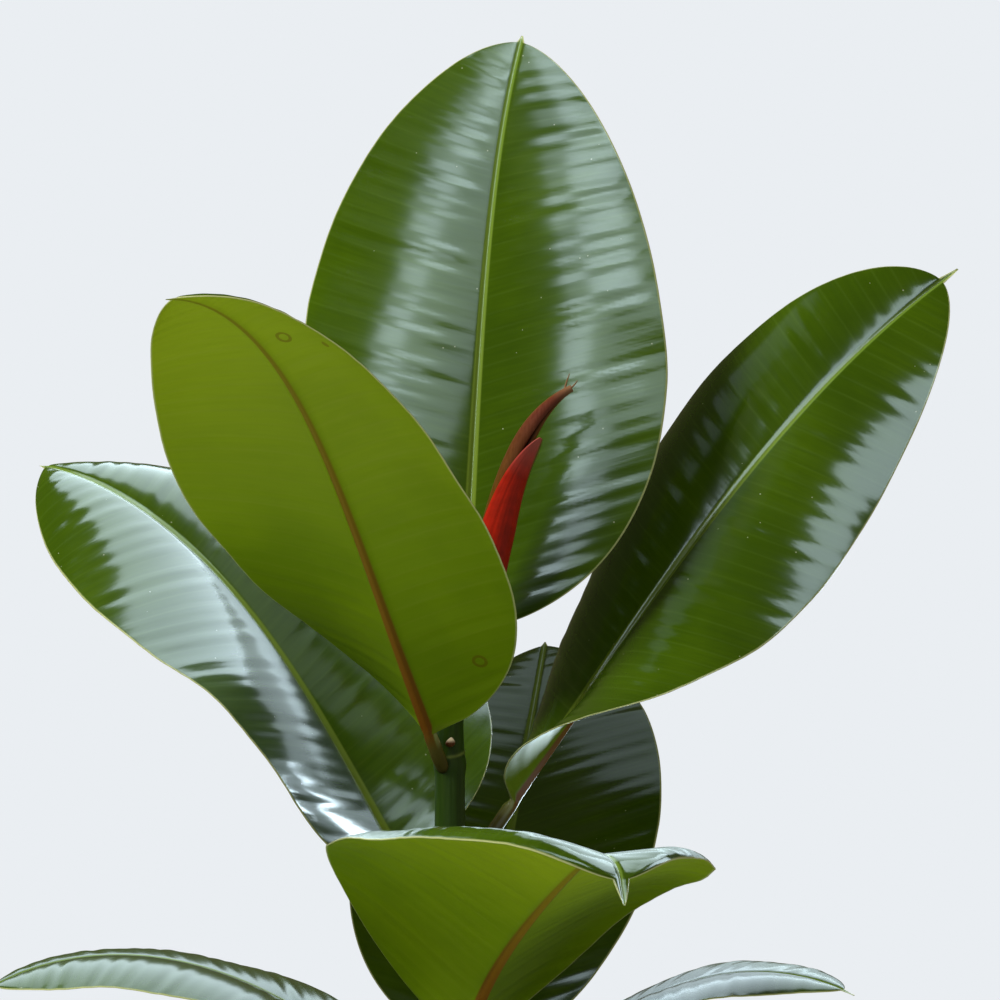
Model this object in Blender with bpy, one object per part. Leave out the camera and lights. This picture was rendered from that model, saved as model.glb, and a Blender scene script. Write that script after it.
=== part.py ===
"""Potted rubber plant: a leaning green stem with twelve broad leaves in a spiral, a rolled
young leaf with its red sheath at the top, potting soil and a round tapered pot.

Metres, +Z up. The origin is the middle of the pot's underside, on the stem's axis.
"""
from dataclasses import dataclass
from math import comb, cos, pi, radians, sin

import bmesh
import bpy
import numpy as np

# ---------------------------------------------------------------- driving dimensions
GAP = 0.0003                # clearance between pieces that touch

POT_HEIGHT = 0.170
POT_TOP_RADIUS = 0.090      # outside, at the rim
POT_BASE_RADIUS = 0.064     # outside, at the floor
POT_WALL = 0.006
POT_FLOOR = 0.008
RIM_HEIGHT = 0.034          # the thicker band around the top
RIM_STEP = 0.004            # how far the band stands out from the wall
EDGE_ROUND = 0.0015         # chamfer on the pot's edges
DRAIN_RADIUS = 0.006
DRAIN_CIRCLE = 0.032        # radius of the circle that the drain holes are on
DRAIN_COUNT = 3
DRAIN_SIDES = 16

SOIL_BELOW_RIM = 0.020
SOIL_MOUND = 0.004          # rise of the soil towards the stem
SOIL_SOCKET = 0.060         # depth of the stem below the soil's edge level
SOIL_SHOULDER_OUT = 0.6     # where the mound's slope changes, as a share of the soil's radius
SOIL_SHOULDER_UP = 0.7      # and of the mound's rise

STEM_HEIGHT = 0.301         # above the soil's edge level
STEM_BASE_RADIUS = 0.0085
STEM_NECK_RADIUS = 0.0057
STEM_NECK_SHARE = 0.870     # where it is down to its neck radius, as a share of its height
STEM_TIP_RADIUS = 0.0044
STEM_LEAN = 0.0086          # sideways offset of the tip, towards +X
STEM_LEAN_SHARE = 0.914     # where the lean begins, as a share of its height
NODE_SWELL = 0.0007         # swelling of the stem at each leaf
NODE_SPREAD = 0.0035

PETIOLE_RADIUS = 0.0028
BLADE_THICKNESS = 0.0010
MARGIN_THICKNESS = 0.0006
RIB_DEPTH = 0.0022          # how far the midrib stands below the blade, at its base
RIB_HALF_WIDTH = 0.0022
RIB_WIDTH_SHARE = 0.3       # the most of a half of the blade that the midrib takes
TIP_HALF_WIDTH = 0.0010
DRIP_TIP_SHRINK = 0.6       # size of the drip tip's last section, as a share of the one before
BASE_FULLNESS = 2.2         # powers of the outline: a higher first one is fuller
BASE_CLOSE = 0.5
TIP_FULLNESS = 1.6
TIP_CLOSE = 0.6
LIP_POWER = 6               # how near to the margin its further bend stays
TIP_DROP_POWER = 20         # how near to the tip its further bend stays

ROLL_LENGTH = 0.118         # the rolled young leaf
ROLL_BASE_RADIUS = 0.0040
ROLL_RADIUS = 0.0062
ROLL_TIP_RADIUS = 0.0012
ROLL_PROFILE = (            # share of the length and of the radius, between base and tip
    (0.25, 0.95), (0.45, 1.0), (0.80, 0.6),
)
ROLL_LEAN = (8, 12, 8, 10, 62)  # degrees from upright, towards +X, from base to tip
ROLL_STATIONS = 15
ROLL_SIDES = 14

SHEATH_LENGTH = 0.094       # the red sheath around the rolled leaf
SHEATH_THICKNESS = 0.0009
SHEATH_BEARING = 318        # degrees, the side of the roll that it covers
SHEATH_SPREAD = 118         # degrees of the roll that it covers on each side, at its base
SHEATH_TIP_SPREAD = 6       # degrees on each side that are left at its tip
SHEATH_START = 0.04         # share of its length that is left free at the roll's base
SHEATH_FULLNESS = 2.4       # powers of its outline
SHEATH_CLOSE = 0.8
SHEATH_THINNING = 0.5       # share of its thickness that is gone at its tip
SHEATH_FLARE = 0.0030       # how far its tip stands off the roll
SHEATH_STATIONS = 13
SHEATH_ACROSS = 9           # points across it

BUD_RADIUS = 0.0018
BUD_PLACE = 0.900           # as a share of the stem's height
BUD_BEARING = 272
BUD_SIDES = 10
BUD_BANDS = 6

ROUND_SIDES = 48            # pot and soil
STEM_SIDES = 16
STEM_STATIONS = 20
BLADE_STATIONS = 17
PETIOLE_STATIONS = 4
PATH_STEPS = 400            # steps along a curved path when its directions are summed up
ACROSS_SHARES = (1.0, 0.86, 0.62, 0.31)   # places of the points across a half of the blade
ARC_STEPS = 9               # directions that are averaged along the arc across the blade
SHARP_ANGLE = 40            # degrees between two faces from which their edge stays sharp
TOP_POINTS = 2 * len(ACROSS_SHARES) + 1
RING_POINTS = 2 * TOP_POINTS + 2


@dataclass
class Leaf:
    """One leaf. Angles are in degrees and run from the stem to the tip of the leaf.

    place is where it grows, as a share of the stem's height. bearing is the compass direction
    of the midrib from +X towards +Y, rise its slope above level, roll its turn about itself.
    left and right are as seen from the stem. fold is how far a half of the blade is lifted at
    the midrib, curl how far it bends back at the margin.
    lip is a further bend of the margin alone, tip_drop a further bend of the tip alone.
    """

    name: str
    place: float
    bearing: tuple
    rise: tuple
    roll: tuple
    petiole: float
    blade: float
    left_width: float
    right_width: float
    left_widest: float
    right_widest: float
    left_fold: tuple
    right_fold: tuple
    left_curl: tuple
    right_curl: tuple
    drip: float
    left_lip: tuple = (0, 0)
    right_lip: tuple = (0, 0)
    tip_drop: float = 0.0

    @property
    def height(self):
        """Where the leaf leaves the stem, above the soil's edge level."""
        return self.place * STEM_HEIGHT


LEAVES = (
    Leaf("leaf_top", place=0.957, bearing=(80, 84, 46), rise=(64, 88, 70), roll=(12, -17, 30),
         petiole=0.028, blade=0.246, left_width=0.075, right_width=0.080,
         left_widest=0.54, right_widest=0.41, left_fold=(24, 26, 2), right_fold=(24, 26, 2),
         left_curl=(10, 30, 2), right_curl=(10, 30, 2), drip=0.003),
    Leaf("leaf_front_left", place=0.870, bearing=(240, 245, 235, 230), rise=(55, 48, 80, -2),
         roll=(-5, 8, 16, 28), petiole=0.016, blade=0.238, left_width=0.060, right_width=0.066,
         left_widest=0.43, right_widest=0.50, left_fold=(32, -6, 0), right_fold=(38, 5, 16),
         left_curl=(8, 26, 24), right_curl=(4, 16, 10), drip=0.004),
    Leaf("leaf_right", place=0.724, bearing=(38, -4, 10, 23), rise=(50, 64, 34),
         roll=(-70, 77, 62, 62), petiole=0.036, blade=0.276, left_width=0.063,
         right_width=0.057, left_widest=0.51, right_widest=0.49, left_fold=(29, -12, 20),
         right_fold=(45, 14, 18), left_curl=(24, 53, 19), right_curl=(7, 51, 4), drip=0.009),
    Leaf("leaf_left", place=0.664, bearing=(150, 178, 180, 142), rise=(55, 68, 56, 8),
         roll=(-56, 5, -56, -24), petiole=0.025, blade=0.228, left_width=0.070,
         right_width=0.076, left_widest=0.50, right_widest=0.39, left_fold=(28, 28, 15),
         right_fold=(35, 20, 11), left_curl=(7, 11, 33), right_curl=(0, 16, 38), drip=0.004),
    Leaf("leaf_front", place=0.455, bearing=(290, 295, 274, 291), rise=(68, 10, 26, 12),
         roll=(-8, -2, -20, -12), petiole=0.021, blade=0.216, left_width=0.067,
         right_width=0.082, left_widest=0.49, right_widest=0.47, left_fold=(38, 30, 12),
         right_fold=(45, 16, 4), left_curl=(3, -1, -6), right_curl=(-5, 13, 2), drip=0.009,
         left_lip=(30, 60), right_lip=(0, 60), tip_drop=80),
    Leaf("leaf_back", place=0.415, bearing=(72, 77, 84), rise=(54, 55, 27), roll=(5, -8, -4),
         petiole=0.032, blade=0.220, left_width=0.065, right_width=0.065, left_widest=0.45,
         right_widest=0.45, left_fold=(16, 12, 2), right_fold=(14, 16, 4),
         left_curl=(10, 6, 10), right_curl=(11, 3, 9), drip=0.004),
    Leaf("leaf_low_left", place=0.399, bearing=(193, 180, 186), rise=(50, 34, -28),
         roll=(-12, 2, -7), petiole=0.037, blade=0.156, left_width=0.052, right_width=0.054,
         left_widest=0.47, right_widest=0.47, left_fold=(18, 2, 8), right_fold=(26, -4, 8),
         left_curl=(10, 13, 16), right_curl=(6, 18, 16), drip=0.005),
    Leaf("leaf_low_right", place=0.349, bearing=(333, 343, 335), rise=(54, 44, -20),
         roll=(4, 10, 2), petiole=0.044, blade=0.140, left_width=0.048, right_width=0.048,
         left_widest=0.47, right_widest=0.47, left_fold=(20, 4, 10), right_fold=(20, 4, 10),
         left_curl=(10, 13, 15), right_curl=(10, 13, 15), drip=0.005),
    Leaf("leaf_lower_back", place=0.299, bearing=(118, 112, 100), rise=(42, 16, -40),
         roll=(0, -6, -8), petiole=0.040, blade=0.165, left_width=0.050, right_width=0.050,
         left_widest=0.47, right_widest=0.47, left_fold=(20, 6, 8), right_fold=(20, 6, 8),
         left_curl=(10, 12, 16), right_curl=(10, 12, 16), drip=0.005),
    Leaf("leaf_lower_front", place=0.239, bearing=(242, 238, 246), rise=(44, 16, -40),
         roll=(0, 6, 4), petiole=0.042, blade=0.160, left_width=0.048, right_width=0.048,
         left_widest=0.47, right_widest=0.47, left_fold=(20, 6, 8), right_fold=(20, 6, 8),
         left_curl=(10, 12, 16), right_curl=(10, 12, 16), drip=0.005),
    Leaf("leaf_lower_right", place=0.183, bearing=(20, 26, 18), rise=(42, 10, -38),
         roll=(0, -6, -4), petiole=0.040, blade=0.155, left_width=0.046, right_width=0.046,
         left_widest=0.47, right_widest=0.47, left_fold=(20, 6, 8), right_fold=(20, 6, 8),
         left_curl=(10, 12, 16), right_curl=(10, 12, 16), drip=0.005),
    Leaf("leaf_lower_left", place=0.133, bearing=(158, 152, 160), rise=(38, 6, -36),
         roll=(0, 6, 6), petiole=0.038, blade=0.145, left_width=0.043, right_width=0.043,
         left_widest=0.47, right_widest=0.47, left_fold=(20, 6, 8), right_fold=(20, 6, 8),
         left_curl=(10, 12, 16), right_curl=(10, 12, 16), drip=0.005),
)

# ---------------------------------------------------------------- values that follow from them
SOIL_TOP = POT_HEIGHT - SOIL_BELOW_RIM
NECK_HEIGHT = STEM_HEIGHT * STEM_NECK_SHARE     # these three are above the soil's edge level
LEAN_START = STEM_HEIGHT * STEM_LEAN_SHARE
BUD_HEIGHT = STEM_HEIGHT * BUD_PLACE


# ---------------------------------------------------------------- small helpers
def clear_scene():
    """Remove every object, so that the file starts empty."""
    for item in list(bpy.data.objects):
        bpy.data.objects.remove(item, do_unlink=True)


def make_material(name, colour, roughness):
    """A plain Principled BSDF."""
    material = bpy.data.materials.new(name)
    material.use_nodes = True
    shader = material.node_tree.nodes["Principled BSDF"]
    shader.inputs["Base Color"].default_value = (*colour, 1.0)
    shader.inputs["Roughness"].default_value = roughness
    material.diffuse_color = (*colour, 1.0)
    return material


def blend(values, share):
    """Smooth run through a few hand-chosen values (a Bezier blend), at each share from 0 to 1."""
    last = len(values) - 1
    return sum(comb(last, i) * (1 - share) ** (last - i) * share ** i * value
               for i, value in enumerate(values))


def add_object(name, mesh, material):
    """Link a mesh to the scene under its own name, with smooth shading on round stretches."""
    mesh.shade_smooth()
    mesh.set_sharp_from_angle(angle=radians(SHARP_ANGLE))
    mesh.materials.append(material)
    item = bpy.data.objects.new(name, mesh)
    bpy.context.collection.objects.link(item)
    return item


def loft(name, rings, material, start_middle=None, under_from=None):
    """Close a solid over a row of rings with the same number of points.

    An end is one flat face; the start is a fan of triangles where a middle point is given.
    A thin twisted shell gives the point where its underside begins: both of its sides are then
    cut into triangles along the same diagonals, which keeps the sides apart.
    """
    build = bmesh.new()
    rows = [[build.verts.new(point) for point in ring] for ring in rings]
    count = len(rows[0])
    for near, far in zip(rows, rows[1:]):
        for i in range(count):
            j = (i + 1) % count
            if under_from is None:
                build.faces.new((near[i], near[j], far[j], far[i]))
            elif i < under_from:
                build.faces.new((near[i], near[j], far[j]))
                build.faces.new((near[i], far[j], far[i]))
            else:
                build.faces.new((near[i], near[j], far[i]))
                build.faces.new((near[j], far[j], far[i]))
    start = rows[0][::-1]
    if start_middle is None:
        build.faces.new(start)
    else:
        hub = build.verts.new(start_middle)
        for i in range(count):
            build.faces.new((start[i], start[(i + 1) % count], hub))
    build.faces.new(rows[-1])
    bmesh.ops.recalc_face_normals(build, faces=build.faces[:])
    mesh = bpy.data.meshes.new(name)
    build.to_mesh(mesh)
    build.free()
    return add_object(name, mesh, material)


def turned(name, profile, sides, material):
    """A solid of revolution about Z. profile is a row of (radius, height) points."""
    angle = np.linspace(0, 2 * pi, sides, endpoint=False)
    rings = [np.stack([radius * np.cos(angle), radius * np.sin(angle), 0 * angle + height], -1)
             for radius, height in profile]
    return loft(name, rings, material)


# ---------------------------------------------------------------- stem
def stem_offset(height):
    """Sideways offset of the stem's axis at a height above the soil."""
    run = np.clip(height - LEAN_START, 0, None) / (STEM_HEIGHT - LEAN_START)
    return STEM_LEAN * run ** 2


def stem_radius(height):
    """Radius of the stem: a taper in two stretches, with a swelling at each leaf."""
    radius = np.interp(height, (0, NECK_HEIGHT, STEM_HEIGHT),
                       (STEM_BASE_RADIUS, STEM_NECK_RADIUS, STEM_TIP_RADIUS))
    for leaf in LEAVES:
        radius = radius + NODE_SWELL * np.exp(-((height - leaf.height) / NODE_SPREAD) ** 2)
    return radius


def clear_of_stem(points, gap=GAP):
    """Push points that are inside the stem's surface, or nearer than the gap, out to the gap."""
    points = np.array(points, float)
    height = points[..., 2] - SOIL_TOP
    across = points[..., :2] - np.stack([stem_offset(height), 0 * height], -1)
    distance = np.maximum(np.linalg.norm(across, axis=-1), 1e-9)
    least = stem_radius(height) + gap
    factor = np.maximum(1, least / distance)
    points[..., 0] += across[..., 0] * (factor - 1)
    points[..., 1] += across[..., 1] * (factor - 1)
    return points


def build_stem(material):
    """The stem: a round tapered tube from inside the soil's socket to its leaning tip."""
    # Stations stand close together at each leaf, where the stem swells.
    heights = set(np.linspace(0, STEM_HEIGHT, STEM_STATIONS).round(5))
    for leaf in LEAVES:
        heights.update((leaf.height - NODE_SPREAD, leaf.height, leaf.height + NODE_SPREAD))
    spaced = [-SOIL_SOCKET]
    for height in sorted(heights):
        if height - spaced[-1] > NODE_SPREAD / 2 and height <= STEM_HEIGHT:
            spaced.append(height)
    spaced[-1] = STEM_HEIGHT
    angle = np.linspace(0, 2 * pi, STEM_SIDES, endpoint=False)
    rings = []
    for height in spaced:
        radius = stem_radius(height) if height >= 0 else STEM_BASE_RADIUS
        rings.append(np.stack([stem_offset(height) + radius * np.cos(angle),
                               radius * np.sin(angle), 0 * angle + SOIL_TOP + height], -1))
    return loft("stem", rings, material)


# ---------------------------------------------------------------- leaves
def leaf_frame(leaf, share):
    """Directions along the midrib, out of the upper surface, and towards the leaf's right."""
    bearing = np.radians(blend(leaf.bearing, share))
    rise = np.radians(blend(leaf.rise, share) - leaf.tip_drop * share ** TIP_DROP_POWER)
    roll = np.radians(blend(leaf.roll, share))[:, None]
    level = 0 * bearing
    along = np.stack([np.cos(bearing) * np.cos(rise), np.sin(bearing) * np.cos(rise),
                      np.sin(rise)], -1)
    above = np.stack([-np.cos(bearing) * np.sin(rise), -np.sin(bearing) * np.sin(rise),
                      np.cos(rise)], -1)
    right = np.stack([np.sin(bearing), -np.cos(bearing), level], -1)
    turned_above = above * np.cos(roll) + right * np.sin(roll)
    turned_right = right * np.cos(roll) - above * np.sin(roll)
    return along, turned_above, turned_right


def midrib_path(leaf, share):
    """Points on the midrib at each share of petiole and blade, summed up from its directions."""
    fine = np.linspace(0, 1, PATH_STEPS + 1)
    along = leaf_frame(leaf, fine)[0]
    step = (leaf.petiole + leaf.blade) / PATH_STEPS
    bearing = radians(leaf.bearing[0])
    reach = stem_radius(leaf.height) + GAP
    start = np.array([stem_offset(leaf.height) + reach * cos(bearing), reach * sin(bearing),
                      SOIL_TOP + leaf.height])
    steps = (along[1:] + along[:-1]) / 2 * step
    path = start + np.concatenate([np.zeros((1, 3)), np.cumsum(steps, axis=0)])
    points = np.stack([np.interp(share, fine, path[:, i]) for i in range(3)], -1)
    beyond = np.clip(share - 1, 0, None)[:, None] * (leaf.petiole + leaf.blade)
    return points + beyond * along[-1]


def half_width(share, widest, width):
    """Half of the blade's width: a full round base, a rounder tip, then the narrow drip tip."""
    towards_base = np.clip((widest - share) / widest, 0, 1)
    towards_tip = np.clip((share - widest) / (1 - widest), 0, 1)
    outline = np.where(share < widest, (1 - towards_base ** BASE_FULLNESS) ** BASE_CLOSE,
                       (1 - towards_tip ** TIP_FULLNESS) ** TIP_CLOSE)
    return width * outline


def half_section(leaf, share, side, width):
    """Half of the blade's cross-section: rows of its top and its underside, margin first.

    Its middle line is an arc that leaves the midrib at the fold angle. Half of the thickness
    lies on each side of that line, square to it.
    """
    fold, curl, lip = (radians(blend(getattr(leaf, f"{side}_{kind}"), share))
                       for kind in ("fold", "curl", "lip"))
    reach = np.array(ACROSS_SHARES)
    place = np.linspace(0, 1, ARC_STEPS)[:, None] * reach
    arc = fold - 2 * curl * place - lip * place ** LIP_POWER
    middle = reach * width * np.stack([np.cos(arc).mean(axis=0), np.sin(arc).mean(axis=0)])
    slope = arc[-1]
    half = np.full(len(reach), BLADE_THICKNESS / 2)
    half[0] = MARGIN_THICKNESS / 2
    offset = half * np.stack([-np.sin(slope), np.cos(slope)])
    return middle + offset, middle - offset


def blade_ring(leaf, share, left, right, rib):
    """Cross-section of the blade: (sideways, up) points, from the right margin over the top."""
    right_top, right_under = half_section(leaf, share, "right", right)
    mirror = np.array([[-1.0], [1.0]])
    left_top, left_under = (mirror * half for half in half_section(leaf, share, "left", left))
    half = BLADE_THICKNESS / 2
    near_rib = min(RIB_HALF_WIDTH, RIB_WIDTH_SHARE * min(left, right))
    groove = np.array([[0.0], [half]])
    ridge = np.array([[-near_rib, 0.0, near_rib], [-half, -half - rib, -half]])
    ring = (right_top, groove, left_top[:, ::-1], left_under, ridge, right_under[:, ::-1])
    return np.concatenate(ring, axis=1).T


def petiole_ring():
    """Round cross-section of the petiole, with its points in the same order as the blade's."""
    upper = np.linspace(0, pi, TOP_POINTS)
    lower = np.linspace(pi, 2 * pi, RING_POINTS - TOP_POINTS + 2)[1:-1]
    angle = np.concatenate([upper, lower])
    return PETIOLE_RADIUS * np.stack([np.cos(angle), np.sin(angle)], -1)


def build_leaf(leaf, material):
    """One leaf: round petiole, blade with its midrib below, and drip tip, as a single solid."""
    length = leaf.petiole + leaf.blade
    stalk = np.linspace(0, leaf.petiole, PETIOLE_STATIONS, endpoint=False)
    # Blade stations stand closer at the base and the tip, where the outline turns fastest.
    blade_share = 0.5 - 0.5 * np.cos(pi * np.linspace(0, 1, BLADE_STATIONS))
    runs = np.concatenate([stalk, leaf.petiole + blade_share * leaf.blade, [length + leaf.drip]])
    share = runs / length
    centre = midrib_path(leaf, share)
    along, above, right = leaf_frame(leaf, np.minimum(share, 1))
    rings = []
    for i, run in enumerate(runs):
        place = np.array([(run - leaf.petiole) / leaf.blade]).clip(0, 1)
        taper = 1 - place[0]
        left = max(half_width(place, leaf.left_widest, leaf.left_width)[0], TIP_HALF_WIDTH)
        wide = max(half_width(place, leaf.right_widest, leaf.right_width)[0], TIP_HALF_WIDTH)
        rib = (RIB_DEPTH - BLADE_THICKNESS) * taper ** 0.5 + MARGIN_THICKNESS
        if i < PETIOLE_STATIONS:
            section = petiole_ring()
        elif i == PETIOLE_STATIONS:
            left = wide = PETIOLE_RADIUS
            section = (petiole_ring() + blade_ring(leaf, 0.0, left, wide, rib)) / 2
        else:
            section = blade_ring(leaf, place[0], left, wide, rib)
        # The first ring stands upright against the stem.
        up = np.array([0, 0, 1.0]) if i == 0 else above[i]
        rings.append(centre[i] + section[:, :1] * right[i] + section[:, 1:] * up)
    rings[-1] = centre[-1] + (rings[-1] - centre[-1]) * DRIP_TIP_SHRINK
    rings = [clear_of_stem(ring) for ring in rings]
    hub = clear_of_stem(rings[0].mean(axis=0))
    return loft(leaf.name, rings, material, start_middle=hub, under_from=TOP_POINTS)


# ---------------------------------------------------------------- rolled leaf, sheath and bud
def roll_frame(share):
    """Centre, sideways and forward directions of the rolled leaf, and its radius."""
    fine = np.linspace(0, 1, PATH_STEPS + 1)
    lean = np.radians(blend(ROLL_LEAN, fine))
    step = ROLL_LENGTH / PATH_STEPS
    start = np.array([STEM_LEAN, 0.0, SOIL_TOP + STEM_HEIGHT + GAP])
    steps = np.stack([np.sin(lean), 0 * lean, np.cos(lean)], -1)[1:] * step
    path = start + np.concatenate([np.zeros((1, 3)), np.cumsum(steps, axis=0)])
    centre = np.stack([np.interp(share, fine, path[:, i]) for i in range(3)], -1)
    angle = np.radians(blend(ROLL_LEAN, share))
    side = np.stack([np.cos(angle), 0 * angle, -np.sin(angle)], -1)
    places = [0.0, *(place for place, _ in ROLL_PROFILE), 1.0]
    radii = [ROLL_BASE_RADIUS, *(ROLL_RADIUS * part for _, part in ROLL_PROFILE), ROLL_TIP_RADIUS]
    radius = np.interp(share, places, radii)
    return centre, side, radius


def roll_point(centre, side, radius, angle):
    """Points around the roll, at a bearing measured from its side direction towards +Y."""
    return centre + radius[..., None] * (np.cos(angle)[..., None] * side
                                         + np.sin(angle)[..., None] * np.array([0, 1.0, 0]))


def build_roll(material):
    """The rolled young leaf: a slender horn on the stem's tip."""
    share = np.linspace(0, 1, ROLL_STATIONS)
    centre, side, radius = roll_frame(share)
    # The first ring lies level on the stem's tip.
    side[0] = (1, 0, 0)
    angle = np.linspace(0, 2 * pi, ROLL_SIDES, endpoint=False)
    rings = [roll_point(centre[i], side[i], np.full(len(angle), radius[i]), angle)
             for i in range(len(share))]
    return loft("rolled_leaf", rings, material)


def build_sheath(material):
    """The red sheath: a pointed shell that wraps the roll's lower part, clear of it by the gap."""
    share = np.linspace(SHEATH_START, 1, SHEATH_STATIONS)
    along = share * SHEATH_LENGTH / ROLL_LENGTH
    centre, side, radius = roll_frame(along)
    rings = []
    for i, place in enumerate(share):
        outline = (1 - place ** SHEATH_FULLNESS) ** SHEATH_CLOSE
        spread = radians(SHEATH_SPREAD * outline + SHEATH_TIP_SPREAD)
        inner = radius[i] / cos(pi / ROLL_SIDES) + GAP + SHEATH_FLARE * place ** 3
        out = np.linspace(-spread, spread, SHEATH_ACROSS) + radians(SHEATH_BEARING)
        edge = SHEATH_THICKNESS * (1 - SHEATH_THINNING * place)
        outer_points = roll_point(centre[i], side[i], np.full(SHEATH_ACROSS, inner + edge), out)
        inner_points = roll_point(centre[i], side[i], np.full(SHEATH_ACROSS, inner), out[::-1])
        rings.append(np.concatenate([outer_points, inner_points]))
    return loft("red_sheath", rings, material)


def build_bud(material):
    """A small bud in the angle between the stem and a leaf's petiole."""
    bearing = radians(BUD_BEARING)
    reach = stem_radius(BUD_HEIGHT) + GAP + BUD_RADIUS
    place = (stem_offset(BUD_HEIGHT) + reach * cos(bearing), reach * sin(bearing),
             SOIL_TOP + BUD_HEIGHT)
    bpy.ops.mesh.primitive_uv_sphere_add(segments=BUD_SIDES, ring_count=BUD_BANDS,
                                         radius=BUD_RADIUS, location=place)
    bud = bpy.context.object
    bud.name = "axil_bud"
    bud.data.shade_smooth()
    bud.data.materials.append(material)
    return bud


# ---------------------------------------------------------------- pot and soil
def wall_radius(height):
    """Outside radius of the pot's tapered wall, below the rim band."""
    foot = POT_BASE_RADIUS
    top = POT_TOP_RADIUS - RIM_STEP
    return foot + (top - foot) * height / POT_HEIGHT


def build_pot(material):
    """The pot: tapered wall, rim band and floor, with drain holes."""
    band = POT_HEIGHT - RIM_HEIGHT
    inside_floor = wall_radius(POT_FLOOR) - POT_WALL
    inside_top = wall_radius(POT_HEIGHT) - POT_WALL
    profile = (
        (POT_BASE_RADIUS - EDGE_ROUND, 0.0),
        (POT_BASE_RADIUS, EDGE_ROUND),
        (wall_radius(band), band),
        (wall_radius(band) + RIM_STEP - EDGE_ROUND, band),
        (wall_radius(band) + RIM_STEP, band + EDGE_ROUND),
        (POT_TOP_RADIUS, POT_HEIGHT - EDGE_ROUND),
        (POT_TOP_RADIUS - EDGE_ROUND, POT_HEIGHT),
        (inside_top + EDGE_ROUND, POT_HEIGHT),
        (inside_top, POT_HEIGHT - EDGE_ROUND),
        (inside_floor, POT_FLOOR),
    )
    pot = turned("pot", profile, ROUND_SIDES, material)
    for i in range(DRAIN_COUNT):
        bearing = 2 * pi * i / DRAIN_COUNT + pi / 2
        place = (DRAIN_CIRCLE * cos(bearing), DRAIN_CIRCLE * sin(bearing), POT_FLOOR / 2)
        bpy.ops.mesh.primitive_cylinder_add(vertices=DRAIN_SIDES, radius=DRAIN_RADIUS,
                                            depth=POT_FLOOR * 3, location=place)
        cutter = bpy.context.object
        cutter.name = f"drain_cutter_{i + 1}"
        cutter.hide_render = True
        cutter.display_type = "WIRE"
        cut = pot.modifiers.new(f"drain_{i + 1}", "BOOLEAN")
        cut.object = cutter
        cut.operation = "DIFFERENCE"
        cut.solver = "EXACT"
    return pot


def build_soil(material):
    """The potting soil: fills the pot to below the rim, with a socket for the stem."""
    def inside(height):
        return wall_radius(height) - POT_WALL - GAP

    socket = STEM_BASE_RADIUS + GAP
    low = POT_FLOOR + GAP
    profile = (
        (inside(low), low),
        (inside(SOIL_TOP), SOIL_TOP),
        (inside(SOIL_TOP) * SOIL_SHOULDER_OUT, SOIL_TOP + SOIL_MOUND * SOIL_SHOULDER_UP),
        (socket + SOIL_MOUND, SOIL_TOP + SOIL_MOUND),
        (socket, SOIL_TOP + SOIL_MOUND),
        (socket, SOIL_TOP - SOIL_SOCKET - GAP),
    )
    return turned("potting_soil", profile, ROUND_SIDES, material)


def main():
    clear_scene()
    build_pot(make_material("terracotta", (0.52, 0.21, 0.11), 0.85))
    build_soil(make_material("potting_soil", (0.03, 0.018, 0.011), 0.95))
    build_stem(make_material("green_stem", (0.06, 0.13, 0.02), 0.55))
    leaf_green = make_material("leaf_green", (0.035, 0.10, 0.012), 0.30)
    for leaf in LEAVES:
        build_leaf(leaf, leaf_green)
    build_roll(make_material("young_leaf", (0.16, 0.06, 0.02), 0.45))
    build_sheath(make_material("red_sheath", (0.33, 0.022, 0.010), 0.45))
    build_bud(make_material("bud_cream", (0.55, 0.35, 0.20), 0.5))


main()
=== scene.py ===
"""Potted rubber plant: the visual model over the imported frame, laid out as a Blender add-on."""
from math import comb, cos, pi, radians, sin, tan

import bpy
import numpy as np
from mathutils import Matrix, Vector


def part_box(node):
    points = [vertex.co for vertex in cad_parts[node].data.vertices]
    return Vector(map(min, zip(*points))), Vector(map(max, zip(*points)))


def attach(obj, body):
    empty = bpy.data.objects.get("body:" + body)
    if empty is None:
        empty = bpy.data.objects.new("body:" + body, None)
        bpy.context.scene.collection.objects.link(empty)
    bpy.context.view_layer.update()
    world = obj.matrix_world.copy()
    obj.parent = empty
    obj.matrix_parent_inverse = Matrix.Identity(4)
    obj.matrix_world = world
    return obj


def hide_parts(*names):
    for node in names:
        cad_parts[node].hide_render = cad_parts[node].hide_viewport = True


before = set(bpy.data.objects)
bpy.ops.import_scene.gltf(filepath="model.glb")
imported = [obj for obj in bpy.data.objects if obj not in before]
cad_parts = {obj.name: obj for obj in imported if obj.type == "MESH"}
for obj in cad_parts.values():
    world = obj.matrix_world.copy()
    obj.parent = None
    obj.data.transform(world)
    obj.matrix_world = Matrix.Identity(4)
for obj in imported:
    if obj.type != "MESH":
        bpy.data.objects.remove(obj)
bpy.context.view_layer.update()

bl_info = {
    "name": "Potted rubber plant",
    "version": (1, 0, 0),
    "blender": (4, 5, 0),
    "location": "3D View > Sidebar > Rubber plant",
    "description": "Builds the leaves, stem, young leaf, soil, pot and stage of a rubber plant",
    "category": "Object",
}


# ------------------------------------------------------------------ colour, nodes and meshes
def linear(code):
    """Turn an sRGB hex code into linear red, green and blue."""
    share = np.array([int(code[i:i + 2], 16) for i in (1, 3, 5)]) / 255
    return tuple(np.where(share <= 0.04045, share / 12.92, ((share + 0.055) / 1.055) ** 2.4))


def paint(colour):
    """Four channels from a hex code or three linear channels; a node's output stays itself."""
    if isinstance(colour, bpy.types.NodeSocket):
        return colour
    return (*(linear(colour) if isinstance(colour, str) else colour), 1)


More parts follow.
